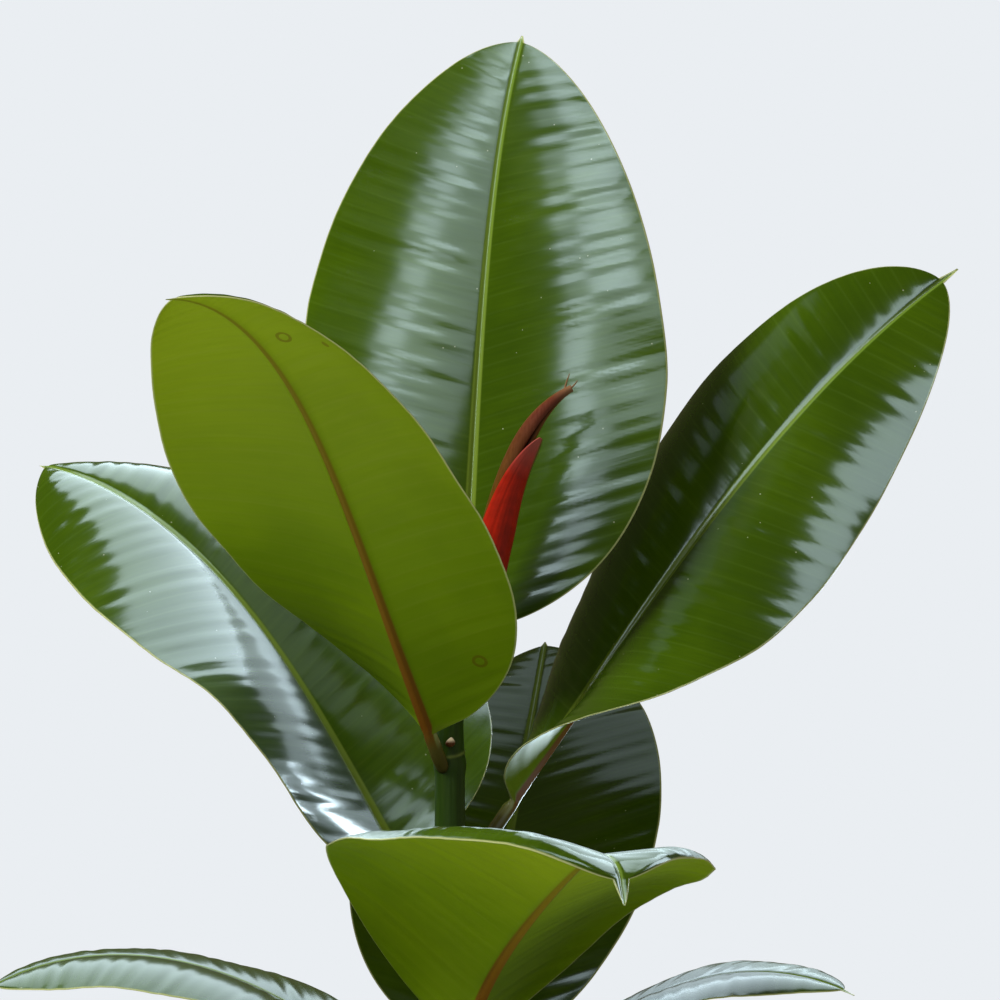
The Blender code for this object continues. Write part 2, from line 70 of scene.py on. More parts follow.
def add(tree, kind, output=0, inputs=(), **settings):
    """Add a node with its settings and give one output; an input is a value or an output."""
    item = tree.nodes.new(kind)
    for name, value in settings.items():
        setattr(item, name, value)
    for key, value in dict(inputs).items():
        if isinstance(value, bpy.types.NodeSocket):
            tree.links.new(value, item.inputs[key])
        else:
            item.inputs[key].default_value = value
    return item.outputs[output] if len(item.outputs) else None


def start_material(name, **values):
    """A material with its Principled shader's own sockets set, ready for more nodes."""
    material = bpy.data.materials.new(name)
    material.use_nodes = True
    shader = material.node_tree.nodes["Principled BSDF"]
    for socket, value in values.items():
        shader.inputs[socket.replace("_", " ")].default_value = value
    return material, material.node_tree, shader


def lay_coats(tree, base, coats):
    """Lay colours over a base, each as far as its mask says, and give the finished colour.

    A mask is a node's output, or a ramp on one: the two readings where the ramp starts and
    ends, and the mask's strength at each, from 0 to 1 when not given.
    """
    colour = paint(base)
    for mask, over in coats:
        if isinstance(mask, tuple):
            mask = add(tree, "ShaderNodeMapRange", 0, dict(enumerate(mask)))
        colour = add(tree, "ShaderNodeMix", 2, {0: mask, 6: colour, 7: paint(over)},
                     data_type="RGBA")
    return colour


def finish_surface(tree, shader, colour, height=None, strength=0.0, depth=0.0):
    """Give the shader its colour, and press a relief of a depth in metres into the surface."""
    tree.links.new(colour, shader.inputs["Base Color"])
    if height is not None:
        relief = {"Height": height, "Strength": strength, "Distance": depth}
        tree.links.new(add(tree, "ShaderNodeBump", 0, relief), shader.inputs["Normal"])


def grain(tree, scale, detail):
    """Noise over a piece. With a scale for each axis it is drawn out, as fibres are."""
    place = add(tree, "ShaderNodeTexCoord", "Object")
    if isinstance(scale, tuple):
        place = add(tree, "ShaderNodeMapping", 0, {"Vector": place, "Scale": scale})
        scale = 1.0
    return add(tree, "ShaderNodeTexNoise", "Fac",
               {"Vector": place, "Scale": scale, "Detail": detail})


def ring_quads(rows, columns, joined_ends=False):
    """Point numbers on a grid of rings, those of the next column, and quads between them."""
    here = np.arange(rows * columns).reshape(rows, columns)
    after = np.roll(here, -1, axis=1)
    if joined_ends:
        here, after = (np.concatenate([index, index[:1]]) for index in (here, after))
    quads = np.stack([here[:-1], after[:-1], after[1:], here[1:]], -1).reshape(-1, 4)
    return here, after, quads


def grid_mesh(name, points, notes=(), joined_ends=False):
    """A closed mesh from a (rows, columns, 3) array: quads between neighbours.

    Columns run around the piece and rows along it. The last row joins the first one, as in a
    ring, or each end is closed by a fan about the mean of its row. The notes are stored on it.
    """
    rows, columns = points.shape[:2]
    here, after, quads = ring_quads(rows, columns, joined_ends)
    cloud = points.reshape(-1, 3)
    loops = [quads.ravel()]
    totals = [np.full(len(quads), 4)]
    if not joined_ends:
        hubs = np.array([len(cloud), len(cloud) + 1])
        cloud = np.concatenate([cloud, points[:1].mean(1), points[-1:].mean(1)])
        first = np.stack([after[0], here[0], np.full(columns, hubs[0])], -1)
        last = np.stack([here[-1], after[-1], np.full(columns, hubs[1])], -1)
        loops += [first.ravel(), last.ravel()]
        totals += [np.full(2 * columns, 3)]
    loops, totals = np.concatenate(loops), np.concatenate(totals)
    mesh = bpy.data.meshes.new(name)
    mesh.vertices.add(len(cloud))
    mesh.vertices.foreach_set("co", cloud.astype(np.float32).ravel())
    mesh.loops.add(len(loops))
    mesh.loops.foreach_set("vertex_index", loops.astype(np.int32))
    mesh.polygons.add(len(totals))
    starts = np.concatenate([[0], np.cumsum(totals)[:-1]])
    mesh.polygons.foreach_set("loop_start", starts.astype(np.int32))
    mesh.update(calc_edges=True)
    mesh.validate()
    mesh.shade_smooth()
    for note, values in dict(notes).items():
        store(mesh, note, values)
    return mesh


def store(mesh, name, values):
    """Keep one number for each point of the mesh, for its material to read."""
    data = mesh.attributes.new(name, "FLOAT", "POINT")
    full = np.zeros(len(mesh.vertices), np.float32)
    full[:values.size] = values.ravel()
    full[values.size:] = values.ravel()[-1]
    data.data.foreach_set("value", full)


def place_piece(name, mesh, materials, nodes=()):
    """Link a piece to the scene: it rides on the plant, with its materials."""
    piece = bpy.data.objects.new(name, mesh)
    bpy.context.collection.objects.link(piece)
    for material in materials:
        mesh.materials.append(material)
    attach(piece, "root")
    if nodes:
        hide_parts(*nodes)


def blend(values, share):
    """Smooth run through a few given values (a Bezier blend), at each share from 0 to 1."""
    last = len(values) - 1
    return sum(comb(last, i) * (1 - share) ** (last - i) * share ** i * value
               for i, value in enumerate(values))


def walk(start, steps, share):
    """Points at shares of the way along small steps that are summed up from a start."""
    path = start + np.concatenate([np.zeros((1, 3)), np.cumsum(steps, axis=0)])
    ways = np.linspace(0, 1, len(path))
    return np.stack([np.interp(share, ways, path[:, i]) for i in range(3)], -1)


def smooth_step(low, high, values):
    """0 below low, 1 above high, with a smooth S between them."""
    share = np.clip((values - low) / (high - low), 0, 1)
    return share * share * (3 - 2 * share)


def waves(values, lengths, seed):
    """Mean of sines of the given wavelengths with seeded phases: an irregular ripple, -1 to 1."""
    phases = np.random.default_rng(seed).uniform(0, 2 * pi, len(lengths))
    return sum(np.sin(2 * pi * values / length + phase)
               for length, phase in zip(lengths, phases)) / len(lengths)


# ------------------------------------------------------------------ the plant's own measures
SOIL_TOP = 0.150
SOIL_TOP_RADIUS = 0.0789
SOIL_FOOT = 0.0085
SOIL_FOOT_RADIUS = 0.0587
SOCKET_RADIUS = 0.0089
SOCKET_LEVELS = (0.12, 0.0895)
GRANULES = 1400
STEM_IN_SOIL = 0.060
STEM_HEIGHT = 0.301
STEM_BASE_RADIUS = 0.0085
STEM_NECK_RADIUS = 0.0057
NECK_HEIGHT = 0.870 * STEM_HEIGHT
STEM_TIP_RADIUS = 0.0044
STEM_LEAN = 0.0086
LEAN_START = 0.914 * STEM_HEIGHT
NODE_SWELL = 0.0007
NODE_SPREAD = 0.0035
# The rolled leaf: its lean in degrees from base to tip, and its radius at shares of its length.
ROLL_LENGTH = 0.118
ROLL_LEAN = (8, 12, 8, 10, 62)
ROLL_PLACES = (0, 0.25, 0.45, 0.8, 1)
ROLL_RADII = (0.0040, 0.0059, 0.0062, 0.0037, 0.0012)
# The dry threads at its tip: how far each reaches sideways and up, its bend, and its way back.
THREADS = ((0.0052, 0.0048, 0.0030, -0.0008), (0.0022, 0.0075, -0.0008, 0.0008))
SHEATH_LENGTH = 0.094
# Half widths of a blade's drip tip: where it starts, at the blade's end, and at its point.
DRIP_BASE, DRIP_WIDTH, DRIP_END = 0.0009, 0.0016, 0.0004
RIB_HEIGHT = 0.0021
NO_LIP = ((0, 0), (0, 0))
# A leaning path is summed up over this many small steps.
PATH_STEPS = 400
# A leaf's surface and its solid may differ by this much at the corners of their boxes.
BOX_TOLERANCE = 0.006

# The outline and bends that the four lower leaves share.
LOWER_BLADE = dict(widest=(0.47, 0.47), fold=((20, 6, 8), (20, 6, 8)),
                   curl=((10, 12, 16), (10, 12, 16)), drip=0.005)
# Each leaf: place on the stem as a share of its height; bearing, rise and roll of its midrib in
# degrees from stem to tip; petiole and blade length; then for the left and the right half, seen
# from the stem, the width, the share of the length where it is widest, the fold at the midrib
# and the curl back towards the margin, in degrees; and the length of the narrow drip tip. A lip
# is a further bend of the margin alone, a tip drop a further bend of the tip alone, and a tip
# width is the drip tip's half width where the blade ends.
LEAVES = {
    "leaf_top": dict(
        place=0.957, bearing=(80, 84, 46), rise=(64, 88, 70), roll=(12, -17, 30),
        petiole=0.028, blade=0.246, width=(0.075, 0.080), widest=(0.54, 0.41),
        fold=((24, 26, 2), (24, 26, 2)), curl=((10, 30, 2), (10, 30, 2)), drip=0.003),
    "leaf_front_left": dict(
        place=0.870, bearing=(240, 245, 235, 230), rise=(55, 48, 80, -2), roll=(-5, 8, 16, 28),
        petiole=0.016, blade=0.238, width=(0.060, 0.066), widest=(0.43, 0.50),
        fold=((32, -6, 0), (38, 5, 16)), curl=((8, 26, 24), (4, 16, 10)), drip=0.004),
    "leaf_right": dict(
        place=0.724, bearing=(38, -4, 10, 23), rise=(50, 64, 34), roll=(-70, 77, 62, 62),
        petiole=0.036, blade=0.276, width=(0.063, 0.057), widest=(0.51, 0.49),
        fold=((29, -12, 20), (45, 14, 18)), curl=((24, 53, 19), (7, 51, 4)), drip=0.009),
    "leaf_left": dict(
        place=0.664, bearing=(150, 178, 180, 142), rise=(55, 68, 56, 8), roll=(-56, 5, -56, -24),
        petiole=0.025, blade=0.228, width=(0.070, 0.076), widest=(0.50, 0.39),
        fold=((28, 28, 15), (35, 20, 11)), curl=((7, 11, 33), (0, 16, 38)), drip=0.004),
    "leaf_front": dict(
        place=0.455, bearing=(290, 295, 274, 291), rise=(68, 10, 26, 12), roll=(-8, -2, -20, -12),
        petiole=0.021, blade=0.216, width=(0.067, 0.082), widest=(0.49, 0.47),
        fold=((38, 30, 12), (45, 16, 4)), curl=((3, -1, -6), (-5, 13, 2)), drip=0.009,
        lip=((30, 60), (0, 60)), tip_drop=80, tip_width=0.0034),
    "leaf_back": dict(
        place=0.415, bearing=(72, 77, 84), rise=(54, 55, 27), roll=(5, -8, -4),
        petiole=0.032, blade=0.220, width=(0.065, 0.065), widest=(0.45, 0.45),
        fold=((16, 12, 2), (14, 16, 4)), curl=((10, 6, 10), (11, 3, 9)), drip=0.004),
    "leaf_low_left": dict(
        place=0.399, bearing=(193, 180, 186), rise=(50, 34, -28), roll=(-12, 2, -7),
        petiole=0.037, blade=0.156, width=(0.052, 0.054), widest=(0.47, 0.47),
        fold=((18, 2, 8), (26, -4, 8)), curl=((10, 13, 16), (6, 18, 16)), drip=0.005),
    "leaf_low_right": dict(
        place=0.349, bearing=(333, 343, 335), rise=(54, 44, -20), roll=(4, 10, 2),
        petiole=0.044, blade=0.140, width=(0.048, 0.048), widest=(0.47, 0.47),
        fold=((20, 4, 10), (20, 4, 10)), curl=((10, 13, 15), (10, 13, 15)), drip=0.005),
    "leaf_lower_back": dict(
        place=0.299, bearing=(118, 112, 100), rise=(42, 16, -40), roll=(0, -6, -8),
        petiole=0.040, blade=0.165, width=(0.050, 0.050), **LOWER_BLADE),
    "leaf_lower_front": dict(
        place=0.239, bearing=(242, 238, 246), rise=(44, 16, -40), roll=(0, 6, 4),
        petiole=0.042, blade=0.160, width=(0.048, 0.048), **LOWER_BLADE),
    "leaf_lower_right": dict(
        place=0.183, bearing=(20, 26, 18), rise=(42, 10, -38), roll=(0, -6, -4),
        petiole=0.040, blade=0.155, width=(0.046, 0.046), **LOWER_BLADE),
    "leaf_lower_left": dict(
        place=0.133, bearing=(158, 152, 160), rise=(38, 6, -36), roll=(0, 6, 6),
        petiole=0.038, blade=0.145, width=(0.043, 0.043), **LOWER_BLADE),
}


class PlantSizes(bpy.types.PropertyGroup):
    """Fine sizes of the leaves and the stem."""

    petiole_radius: bpy.props.FloatProperty(
        name="Petiole radius", description="Radius of a leaf's stalk", default=0.0027,
        unit="LENGTH")
    blade_thickness: bpy.props.FloatProperty(
        name="Blade thickness", description="Thickness of the leathery blade", default=0.0007,
        unit="LENGTH")
    vein_angle: bpy.props.FloatProperty(
        name="Vein angle", description="Slope of the side veins away from square to the midrib",
        default=radians(11), subtype="ANGLE")
    ripple: bpy.props.FloatProperty(
        name="Ripple", description="Height of the swell of the blade between its side veins",
        default=0.00008, unit="LENGTH")
    margin_wave: bpy.props.FloatProperty(
        name="Margin wave", description="Height of the slow wave along the margin",
        default=0.0011, unit="LENGTH")


class PlantColours(bpy.types.PropertyGroup):
    """Colours of the plant and its pot."""

    upper: bpy.props.FloatVectorProperty(
        name="Upper side", description="Deep green of the waxed upper side", subtype="COLOR",
        default=linear("#3e5802"), min=0, max=1)
    # This olive is in part the underside's own colour, and in part lightened as painted glow of
    # daylight shining through the thin blade.
    under: bpy.props.FloatVectorProperty(
        name="Underside", description="Olive green of the underside", subtype="COLOR",
        default=linear("#7a9a06"), min=0, max=1)
    stem: bpy.props.FloatVectorProperty(
        name="Stem", description="Green of the young stem", subtype="COLOR",
        default=linear("#3c5416"), min=0, max=1)
    sheath: bpy.props.FloatVectorProperty(
        name="Sheath", description="Red of the sheath around the young leaf", subtype="COLOR",
        default=linear("#c02410"), min=0, max=1)
    clay: bpy.props.FloatVectorProperty(
        name="Clay", description="Fired clay of the pot", subtype="COLOR",
        default=linear("#b8704f"), min=0, max=1)


def leaf_height(leaf):
    """Where a leaf grows from the stem, above the soil."""
    return leaf["place"] * STEM_HEIGHT


def stem_offset(height):
    """Sideways offset of the stem's axis: the square of the way above where the lean starts."""
    run = np.clip(height - LEAN_START, 0, None) / (STEM_HEIGHT - LEAN_START)
    return STEM_LEAN * run ** 2


def stem_radius(height):
    """Radius of the stem: a taper in two stretches, plus a bell-shaped swelling at each leaf."""
    radius = np.interp(height, (0, NECK_HEIGHT, STEM_HEIGHT),
                       (STEM_BASE_RADIUS, STEM_NECK_RADIUS, STEM_TIP_RADIUS))
    for leaf in LEAVES.values():
        radius = radius + NODE_SWELL * np.exp(-((height - leaf_height(leaf)) / NODE_SPREAD) ** 2)
    return radius


def clear_of_stem(points, gap):
    """Push points inside the stem's surface, or nearer to it than the gap, out to the gap."""
    height = points[..., 2] - SOIL_TOP
    across = points[..., :2] - np.stack([stem_offset(height), 0 * height], -1)
    distance = np.maximum(np.linalg.norm(across, axis=-1), 1e-9)
    factor = np.maximum(1, (stem_radius(height) + gap) / distance) - 1
    moved = points.copy()
    moved[..., :2] += across * factor[..., None]
    return moved


# ------------------------------------------------------------------ leaf surface
def leaf_frame(leaf, share):
    """Directions along the midrib, out of the upper side and to the right, at each share.

    Bearing, rise and roll are Bezier blends; the frame is the bearing and rise turned by roll.
    """
    bearing, rise, roll = (np.radians(blend(leaf[key], share))
                           for key in ("bearing", "rise", "roll"))
    rise = rise - radians(leaf.get("tip_drop", 0)) * share ** 20
    ahead, aside = np.cos(bearing), np.sin(bearing)
    along = np.stack([ahead * np.cos(rise), aside * np.cos(rise), np.sin(rise)], -1)
    above = np.stack([-ahead * np.sin(rise), -aside * np.sin(rise), np.cos(rise)], -1)
    right = np.stack([aside, -ahead, 0 * bearing], -1)
    turn, lift = np.cos(roll)[:, None], np.sin(roll)[:, None]
    return along, above * turn + right * lift, right * turn - above * lift


def midrib_path(leaf, share):
    """Points on the midrib: its direction summed up along its length, from the stem's surface."""
    along = leaf_frame(leaf, np.linspace(0, 1, PATH_STEPS + 1))[0]
    length = leaf["petiole"] + leaf["blade"]
    bearing = radians(leaf["bearing"][0])
    level = leaf_height(leaf)
    reach = stem_radius(level)
    start = np.array([stem_offset(level) + reach * cos(bearing), reach * sin(bearing),
                      SOIL_TOP + level])
    steps = (along[1:] + along[:-1]) / 2 * length / PATH_STEPS
    past_end = np.clip(share - 1, 0, None)[:, None] * length * along[-1]
    return walk(start, steps, share) + past_end


def half_width(share, widest, width):
    """Half of the blade's width: a full round base, then a rounder tip, each a power curve."""
    to_base = np.clip((widest - share) / widest, 0, 1)
    to_tip = np.clip((share - widest) / (1 - widest), 0, 1)
    outline = np.where(share < widest, (1 - to_base ** 2.2) ** 0.5, (1 - to_tip ** 1.6) ** 0.6)
    return width * outline


def gathered(count, pull):
    """Shares from 0 to 1 that stand closer together at both ends, by a part of a sine."""
    even = np.linspace(0, 1, count)
    return even - pull * np.sin(2 * pi * even) / (2 * pi)


def blade_half(leaf, side, sizes, runs, seed):
    """One half of the blade as a sheet without thickness, from the midrib to the margin.

    A column stands at a share of the half width. The sheet is an arc that leaves the midrib at
    the fold angle and bends back by twice the curl angle at the margin. On that arc lie the
    ripple between the side veins and a slow wave of the margin.
    """
    along_blade = runs - leaf["petiole"]
    place = np.clip(along_blade / leaf["blade"], 0, 1)
    past_tip = np.clip((along_blade - leaf["blade"]) / leaf["drip"], 0, 1)
    share = gathered(45, 0.80)
    blunt = DRIP_BASE + (leaf.get("tip_width", DRIP_WIDTH) - DRIP_BASE) * place ** 8
    width = np.maximum.reduce([
        half_width(place, leaf["widest"][side], leaf["width"][side]),
        np.maximum(blunt * (1 - 0.8 * past_tip), DRIP_END),
        sizes.petiole_radius * (1 - smooth_step(0, 0.03, place))])
    distance = width[:, None] * share
    fold, curl, lip = (np.radians(blend(bend[side], place))[:, None]
                       for bend in (leaf["fold"], leaf["curl"], leaf.get("lip", NO_LIP)))
    part = np.linspace(0, 1, 9)[:, None, None] * share
    arc = fold - 2 * curl * part - lip * part ** 6
    slope = tan(sizes.vein_angle) * (1 + 0.4 * share)
    vein = along_blade[:, None] - distance * slope
    inner = smooth_step(0.0, 0.25, share) * (1 - smooth_step(0.9, 1.0, share) * 0.6)
    ripple = sizes.ripple * waves(vein * 1000, (7.0, 9.5, 12.5), seed + side) * 3 * inner
    wave = waves(runs * 1000, (62, 88, 41), seed + 5 + side)[:, None]
    slow = sizes.margin_wave * wave * share ** 2
    scale = smooth_step(0.0, 0.035, width)[:, None]
    return dict(distance=distance, flat=distance * np.cos(arc).mean(0),
                lift=distance * np.sin(arc).mean(0) + (ripple + slow) * scale,
                angle=fold - 2 * curl * share - lip * share ** 6,
                vein=vein, rim=width[:, None] - distance)


def leaf_surface(leaf, sizes, seed):
    """The whole leaf as one grid: rows from stem to tip, columns once around it.

    Each half of the blade gets its thickness square to its sheet, rounded at the margin, with a
    groove above the midrib and a ridge below it, both bell-shaped. The petiole is a circle that
    turns into the blade's section over a few millimetres.
    """
    length = leaf["petiole"] + leaf["blade"]
    stalk = np.linspace(0, leaf["petiole"], 14, endpoint=False)
    drip = np.linspace(0, leaf["drip"], 10)[1:]
    runs = np.concatenate([stalk, leaf["petiole"] + gathered(250, 0.78) * leaf["blade"],
                           length + drip])
    place = np.clip((runs - leaf["petiole"]) / leaf["blade"], 0, 1)
    centre = midrib_path(leaf, runs / length)
    _, above, right = leaf_frame(leaf, np.minimum(runs / length, 1))
    upright = smooth_step(0, 0.006, runs)
    up = above * upright[:, None]
    up[:, 2] += 1 - upright
    up /= np.linalg.norm(up, axis=-1, keepdims=True)

    halves = {1: blade_half(leaf, 1, sizes, runs, seed), -1: blade_half(leaf, 0, sizes, runs, seed)}
    thin = sizes.blade_thickness / 2 * (1 - 0.35 * place)[:, None]
    rib = (RIB_HEIGHT * (1 - place) ** 0.7 + 0.0002)[:, None]
    surfaces = {}
    for sign, half in halves.items():
        edge = np.clip(half["rim"] / 0.0006, 0, 1)
        thickness = thin * np.sqrt(1 - (1 - edge) ** 2)
        groove = 0.0005 * np.exp(-(half["distance"] / 0.0011) ** 2)
        ridge = rib * np.exp(-(half["distance"] / 0.0017) ** 2)
        for face, level in (("top", thickness - groove), ("under", -thickness - ridge)):
            sideways = sign * (half["flat"] - np.sin(half["angle"]) * level)
            surfaces[face, sign] = (sideways, half["lift"] + np.cos(half["angle"]) * level)

    def around(values):
        """Join the four quarter surfaces in one loop: right margin, over the top, and back."""
        top_right, top_left, under_left, under_right = values
        return np.concatenate([top_right[:, ::-1], top_left[:, 1:],
                               under_left[:, ::-1][:, 1:], under_right[:, 1:-1]], axis=1)

    order = (("top", 1), ("top", -1), ("under", -1), ("under", 1))
    across, height = (around([surfaces[key][part] for key in order]) for part in (0, 1))
    turn = np.linspace(0, 2 * pi, across.shape[1], endpoint=False)
    round_radius = sizes.petiole_radius * (1 + 0.18 * np.exp(-runs / 0.004))[:, None]
    to_blade = smooth_step(leaf["petiole"] - 0.003, leaf["petiole"] + 0.004, runs)[:, None]
    across = across * to_blade + round_radius * np.cos(turn) * (1 - to_blade)
    height = height * to_blade + round_radius * np.sin(turn) * (1 - to_blade)
    points = centre[:, None] + across[..., None] * right[:, None] + height[..., None] * up[:, None]
    notes = {
        "across_mm": around([sign * halves[sign]["distance"] * 1000 for _, sign in order]),
        "vein_mm": around([halves[sign]["vein"] * 1000 for _, sign in order]),
        "rim_mm": around([halves[sign]["rim"] * 1000 for _, sign in order]),
        "along": np.repeat(((runs - leaf["petiole"]) / leaf["blade"])[:, None], across.shape[1], 1),
        "leaf_number": np.full(across.shape, float(seed)),
    }
    top_columns = 2 * halves[1]["distance"].shape[1] - 2
    return clear_of_stem(points, -0.0004), notes, top_columns


# ------------------------------------------------------------------ leaf materials
def vein_streaks(tree):
    """Streaks along the side veins: noise stretched across the blade, broad and narrow."""
    vein, across, number = (add(tree, "ShaderNodeAttribute", "Fac", attribute_name=name)
                            for name in ("vein_mm", "across_mm", "leaf_number"))
    shift = add(tree, "ShaderNodeMath", 0, {0: number, 1: 7.3}, operation="MULTIPLY")
    streaks = []
    # Each size: millimetres from one streak to the next, and how far a streak runs.
    for step, reach in ((4.2, 60.0), (1.4, 22.0)):
        over_veins, along_vein = (
            add(tree, "ShaderNodeMath", 0, {0: way, 1: size}, operation="DIVIDE")
            for way, size in ((vein, step), (across, reach)))
        place = add(tree, "ShaderNodeCombineXYZ", 0,
                    {"X": over_veins, "Y": along_vein, "Z": shift})
        streaks.append(add(tree, "ShaderNodeTexNoise", "Fac", {
            "Vector": place, "Scale": 1.0, "Detail": 1.0, "Roughness": 0.5}))
    return vein, across, streaks


def scattered_marks(tree, scale, test, limits, rarity, strength):
    """Marks at chance places: a test on the distance to a cell's point, in the rarer cells."""
    place = add(tree, "ShaderNodeTexCoord", "Object")
    cells = add(tree, "ShaderNodeTexVoronoi", "Distance", {"Vector": place, "Scale": scale})
    shape = add(tree, "ShaderNodeMath", 0, {0: cells, **limits}, operation=test)
    chosen = add(tree, "ShaderNodeMath", 0, {0: cells.node.outputs["Color"], 1: rarity},
                 operation="GREATER_THAN")
    mark = add(tree, "ShaderNodeMath", 0, {0: shape, 1: chosen}, operation="MULTIPLY")
    return add(tree, "ShaderNodeMath", 0, {0: mark, 1: strength}, operation="MULTIPLY")


def leaf_material(name, colours, top):
    """One side of a leathery leaf: waxed and mirror-like above, satin and paler below."""
    if top:
        # A waxed cuticle: bluish reflections that the swell between the veins combs into streaks.
        material, tree, shader = start_material(
            name, Roughness=0.17, IOR=1.5, Specular_IOR_Level=0.45)
        base, deep, line = colours.upper, "#2a4203", "#55702a"
        rib_base, rib_tip, rib_start, rib_end = "#6f8426", "#6c8834", 2.7, 0.9
        line_share, streak_share, relief = 0.14, 0.3, 0.15
    else:
        # The underside has no wax: an even olive with broad soft light on it.
        material, tree, shader = start_material(
            name, Roughness=0.5, IOR=1.45, Specular_IOR_Level=0.12)
        base, deep, line = colours.under, "#668606", "#93a23a"
        rib_base, rib_tip, rib_start, rib_end = "#8a4a16", "#7a8014", 2.0, 0.45
        line_share, streak_share, relief = 0.12, 0.12, 0.12
    vein, across, (broad, narrow) = vein_streaks(tree)
    along, rim = (add(tree, "ShaderNodeAttribute", "Fac", attribute_name=name)
                  for name in ("along", "rim_mm"))
    coats = [((grain(tree, 24.0, 3.0), 0.35, 0.65, 0.0, 0.6), deep)]
    if top:
        # Sparse pale specks of dust and lime, under half a millimetre.
        marks = scattered_marks(tree, 150.0, "LESS_THAN", {1: 0.045}, 0.5, 0.55)
        mark_colour = "#c3c9a8"
    else:
        # Towards the tip a yellow-green is laid over the olive: painted glow of daylight shining
        # through the thinner blade.
        coats.append(((along, 0.35, 0.95, 0.0, 0.9), "#9cb41c"))
        # A few brown ring spots about 4 mm across, as old drops of water leave.
        marks = scattered_marks(tree, 34.0, "COMPARE", {1: 0.085, 2: 0.022}, 0.62, 0.5)
        mark_colour = "#6a4a08"
    # Side veins: thin paler lines about 7 mm apart.
    from_vein = add(tree, "ShaderNodeMath", 0, {0: vein, 1: 3.6}, operation="PINGPONG")
    coats += [((from_vein, 0.1, 0.7, line_share, 0.0), line),
              ((narrow, 0.35, 0.7, 0.0, streak_share), deep),
              (marks, mark_colour)]
    # The midrib narrows from the base to the tip; its half width is in millimetres.
    off_rib = add(tree, "ShaderNodeMath", 0, {0: across}, operation="ABSOLUTE")
    half_rib = add(tree, "ShaderNodeMapRange", 0,
                   {0: along, 1: 0.0, 2: 1.0, 3: rib_start, 4: rib_end})
    on_rib = add(tree, "ShaderNodeMath", 0, {0: half_rib, 1: off_rib}, operation="SUBTRACT")
    rib_colour = lay_coats(tree, rib_base, [(along, rib_tip)])
    coats.append(((on_rib, -0.4, 0.3, 0.0, 0.92), rib_colour))
    # The margin is a thin pale bead: partly the margin's own paler colour, partly a painted rim
    # highlight of light catching the edge.
    coats.append(((rim, 0.25, 0.9, 0.8, 0.0), "#c0c78c"))
    # The petiole is dark brown at the stem and olive towards the blade.
    stalk_colour = lay_coats(tree, "#33200e", [((along, -0.11, -0.02), "#66602a")])
    coats.append(((along, -0.03, 0.015, 1.0, 0.0), stalk_colour))
    swell = add(tree, "ShaderNodeMath", 0, {0: narrow, 1: 0.25, 2: broad},
                operation="MULTIPLY_ADD")
    finish_surface(tree, shader, lay_coats(tree, base, coats), swell, relief, 0.0006)
    return material


class PLANT_OT_leaves(bpy.types.Operator):
    """Build the twelve leaves, each a thin closed surface from its petiole to its drip tip"""

    bl_idname = "plant.leaves"
    bl_label = "Leaves"

    def execute(self, context):
        sizes, colours = context.scene.plant_sizes, context.scene.plant_colours
        upper = leaf_material("waxed_leaf_upper_side", colours, True)
        under = leaf_material("leaf_underside", colours, False)
        for seed, (node, leaf) in enumerate(LEAVES.items()):
            points, notes, top_columns = leaf_surface(leaf, sizes, seed)
            mesh = grid_mesh(node + "_surface", points, notes)
            rows, columns = points.shape[:2]
            side = np.zeros(len(mesh.polygons), np.int32)
            column = np.tile(np.arange(columns), rows - 1)
            side[:len(column)] = column >= top_columns
            mesh.polygons.foreach_set("material_index", side)
            place_piece(node + "_surface", mesh, (upper, under), (node,))
            low, high = (np.array(corner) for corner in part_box(node))
            cloud = points.reshape(-1, 3)
            apart = np.abs([cloud.min(0) - low, cloud.max(0) - high]).max()
            if apart > BOX_TOLERANCE:
                raise RuntimeError(node + " does not fill the same box as its solid")
        return {"FINISHED"}


# ------------------------------------------------------------------ stem, young leaf and bud
def rings_about(centre, side, radius, angle):
    """Rings about a line: the centre, plus the radius times the angle's cosine sideways, plus
    the radius times its sine along the depth axis.
    """
    side, depth = (np.reshape(way, (-1, 1, 3)) for way in (side, (0.0, 1.0, 0.0)))
    return (centre[:, None] + (radius * np.cos(angle))[..., None] * side
            + (radius * np.sin(angle))[..., None] * depth)


def stem_surface():
    """The stem as rings: its taper and swellings, a ring scar above each petiole, fine ribs.

    A scar is a thin bell-shaped ridge that tilts down on the side of its leaf. The ribs are a
    seeded sum of sines around the stem, with whole numbers of waves.
    """
    height = np.concatenate([np.linspace(-STEM_IN_SOIL, 0, 10, endpoint=False),
                             np.linspace(0, STEM_HEIGHT, 900)])
    angle = np.linspace(0, 2 * pi, 72, endpoint=False)
    scar = np.zeros((len(height), len(angle)))
    for leaf in LEAVES.values():
        tilt = 0.0016 * np.cos(angle - radians(leaf["bearing"][0]))
        away = height[:, None] - leaf_height(leaf) - 0.0045 + tilt
        scar = scar + np.exp(-(away / 0.0006) ** 2)
    ribs = waves(np.degrees(angle), (24, 15, 40), 3)
    radius = stem_radius(np.maximum(height, 0))[:, None] + 0.00035 * scar + 0.00012 * ribs
    centre = np.stack([stem_offset(height), 0 * height, SOIL_TOP + height], -1)
    notes = {"height_mm": np.repeat(height[:, None] * 1000, len(angle), 1), "scar": scar}
    return rings_about(centre, (1.0, 0.0, 0.0), radius, angle), notes


